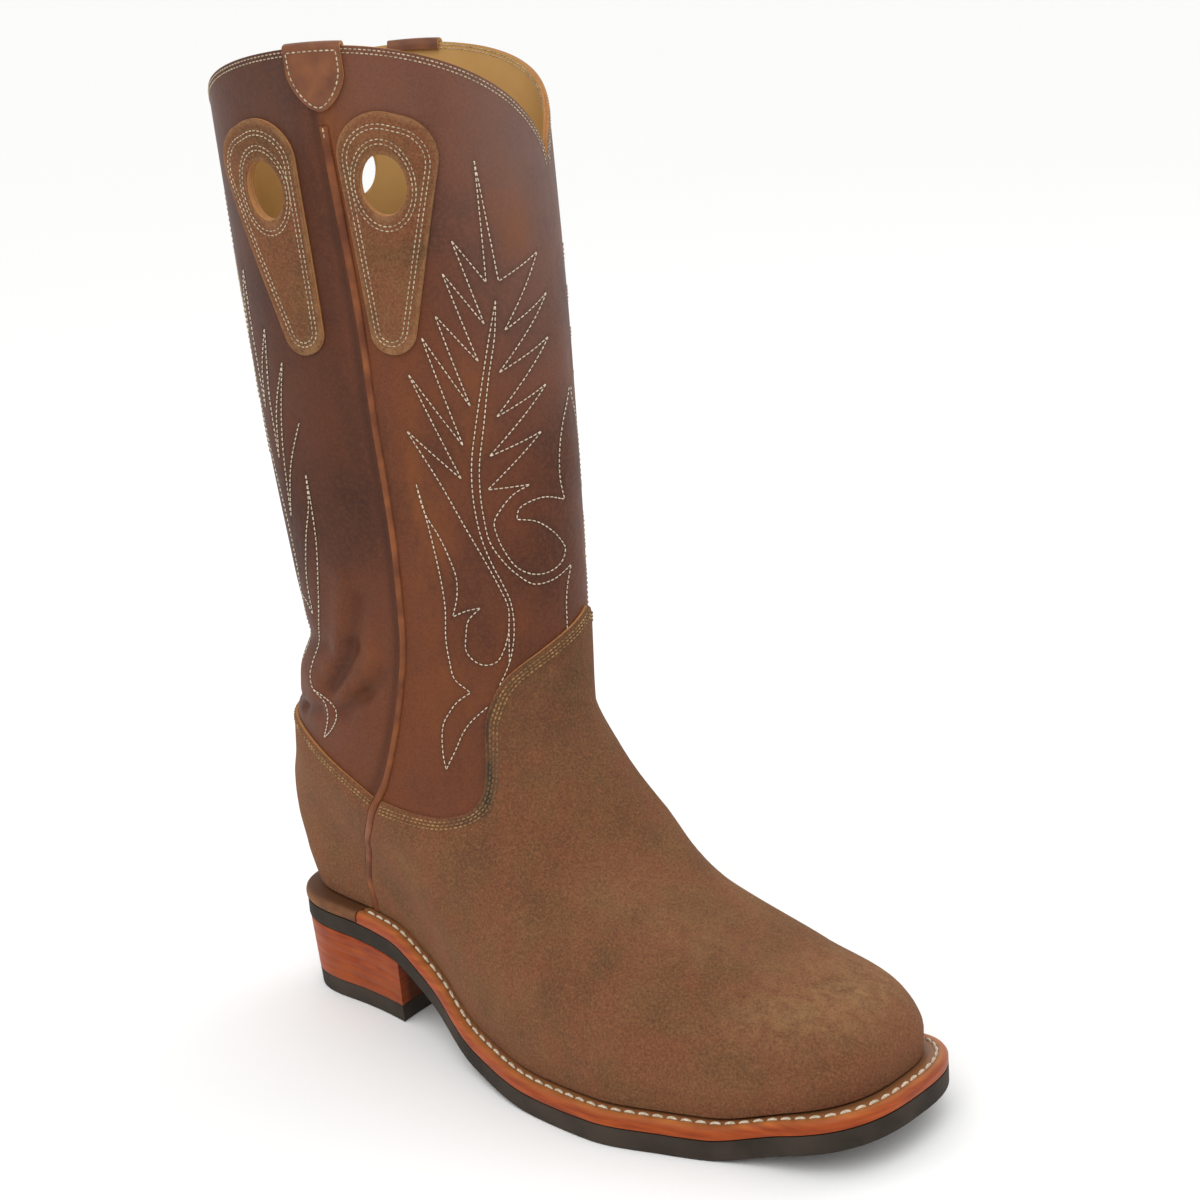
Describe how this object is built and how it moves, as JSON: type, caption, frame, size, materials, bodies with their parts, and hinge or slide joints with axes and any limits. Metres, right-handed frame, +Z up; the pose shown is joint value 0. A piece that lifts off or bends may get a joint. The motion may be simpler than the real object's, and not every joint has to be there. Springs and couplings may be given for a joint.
{
  "type": "square toe cowboy boot",
  "caption": "Square toe western boot for the right foot: tall stitched leather shaft with finger hole patches and pull straps, rough-out vamp and counter, welted rubber sole, stacked heel.",
  "frame": {"origin": "centre of the bottom of the boot's box, on the floor", "axes": "+X towards the toe, +Y towards the inner (medial) side of the right foot, +Z up the shaft"},
  "size_m": [0.3154, 0.1274, 0.4072],
  "materials": {
    "black_rubber": "matt black rubber of the outsole and the heel cap",
    "welt_leather": "orange dyed and waxed edge, tan top",
    "rand_leather": "dark brown waxed leather",
    "insole_leather": "natural tan leather",
    "stacked_heel_leather": "stacked leather lifts, dyed and waxed",
    "shaft_leather": "smooth dark red-brown leather with a soft sheen",
    "rough_out_leather": "rough-out brown leather with a short nap",
    "strip_leather": "smooth brown leather piping",
    "strap_leather": "smooth mid brown leather"
  },
  "bodies": {
    "root": {"outsole": "black_rubber", "welt": "welt_leather", "heel_rand": "rand_leather", "insole": "insole_leather", "heel_stack": "stacked_heel_leather", "heel_cap": "black_rubber", "upper": "shaft_leather", "vamp": "rough_out_leather", "counter": "rough_out_leather", "side_strip_lateral": "strip_leather", "side_strip_medial": "strip_leather", "pull_strap_lateral": "strap_leather", "pull_strap_medial": "strap_leather", "finger_hole_patch_lateral_front": "rough_out_leather", "finger_hole_patch_lateral_back": "rough_out_leather", "finger_hole_patch_medial_front": "rough_out_leather", "finger_hole_patch_medial_back": "rough_out_leather"}
  },
  "joints": []
}
